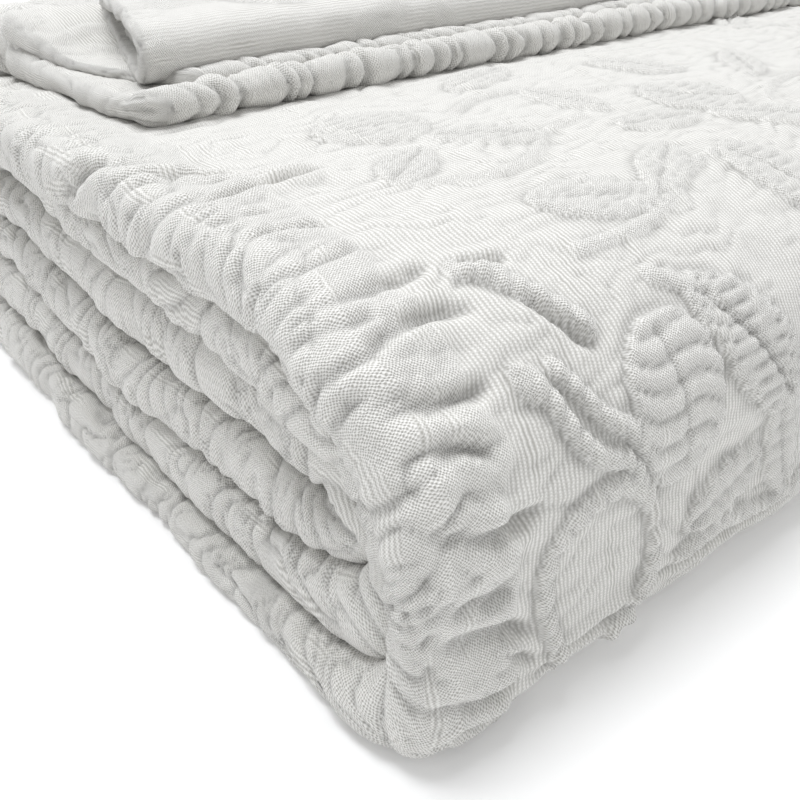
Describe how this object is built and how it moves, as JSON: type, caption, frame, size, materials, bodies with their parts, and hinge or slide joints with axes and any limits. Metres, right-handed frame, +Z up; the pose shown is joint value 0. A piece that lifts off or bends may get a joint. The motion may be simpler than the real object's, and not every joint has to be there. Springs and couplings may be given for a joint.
{
  "type": "folded bedspread",
  "caption": "Folded cotton bedspread with a raised, puckered woven pattern: plies wound into a flat bundle, its hem end and a turned-back fold on top.",
  "frame": {"origin": "middle of the bundle's footprint, on the surface that it rests on", "axes": "+X along the long side, away from the folded edges that show; +Y from the smooth front to the back; +Z up"},
  "size_m": [0.6076, 0.3868, 0.15],
  "materials": {
    "cotton": "off-white cotton with a raised, puckered weave, matt"
  },
  "bodies": {
    "root": {"bedspread": "cotton"}
  },
  "joints": []
}
